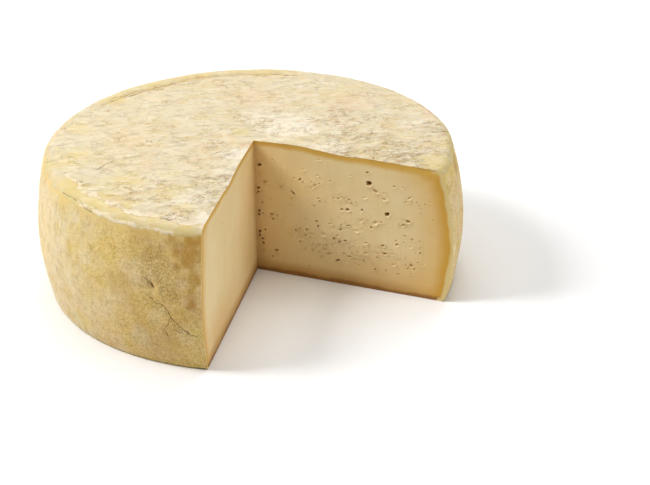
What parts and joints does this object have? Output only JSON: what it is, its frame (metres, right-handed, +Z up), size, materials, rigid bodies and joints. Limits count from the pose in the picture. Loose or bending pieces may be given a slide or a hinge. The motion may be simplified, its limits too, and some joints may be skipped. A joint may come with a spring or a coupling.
{
  "type": "cheese wheel",
  "caption": "Round pressed cheese wheel with a natural rind and bulging side, one wedge cut out so that the pale inside with small eyes shows.",
  "frame": {"origin": "on the wheel's axis at the level it stands on, the middle of its box's bottom", "axes": "+Z up along the wheel's axis; the missing wedge is centred between +X and -Y, so one cut face runs out close to +X and the other close to -Y"},
  "size_m": [0.2405, 0.2396, 0.0816],
  "materials": {
    "cheese": "dry wrinkled straw-coloured rind, pale satin paste on the two cut faces"
  },
  "bodies": {
    "root": {"cheese_wheel": "cheese"}
  },
  "joints": []
}
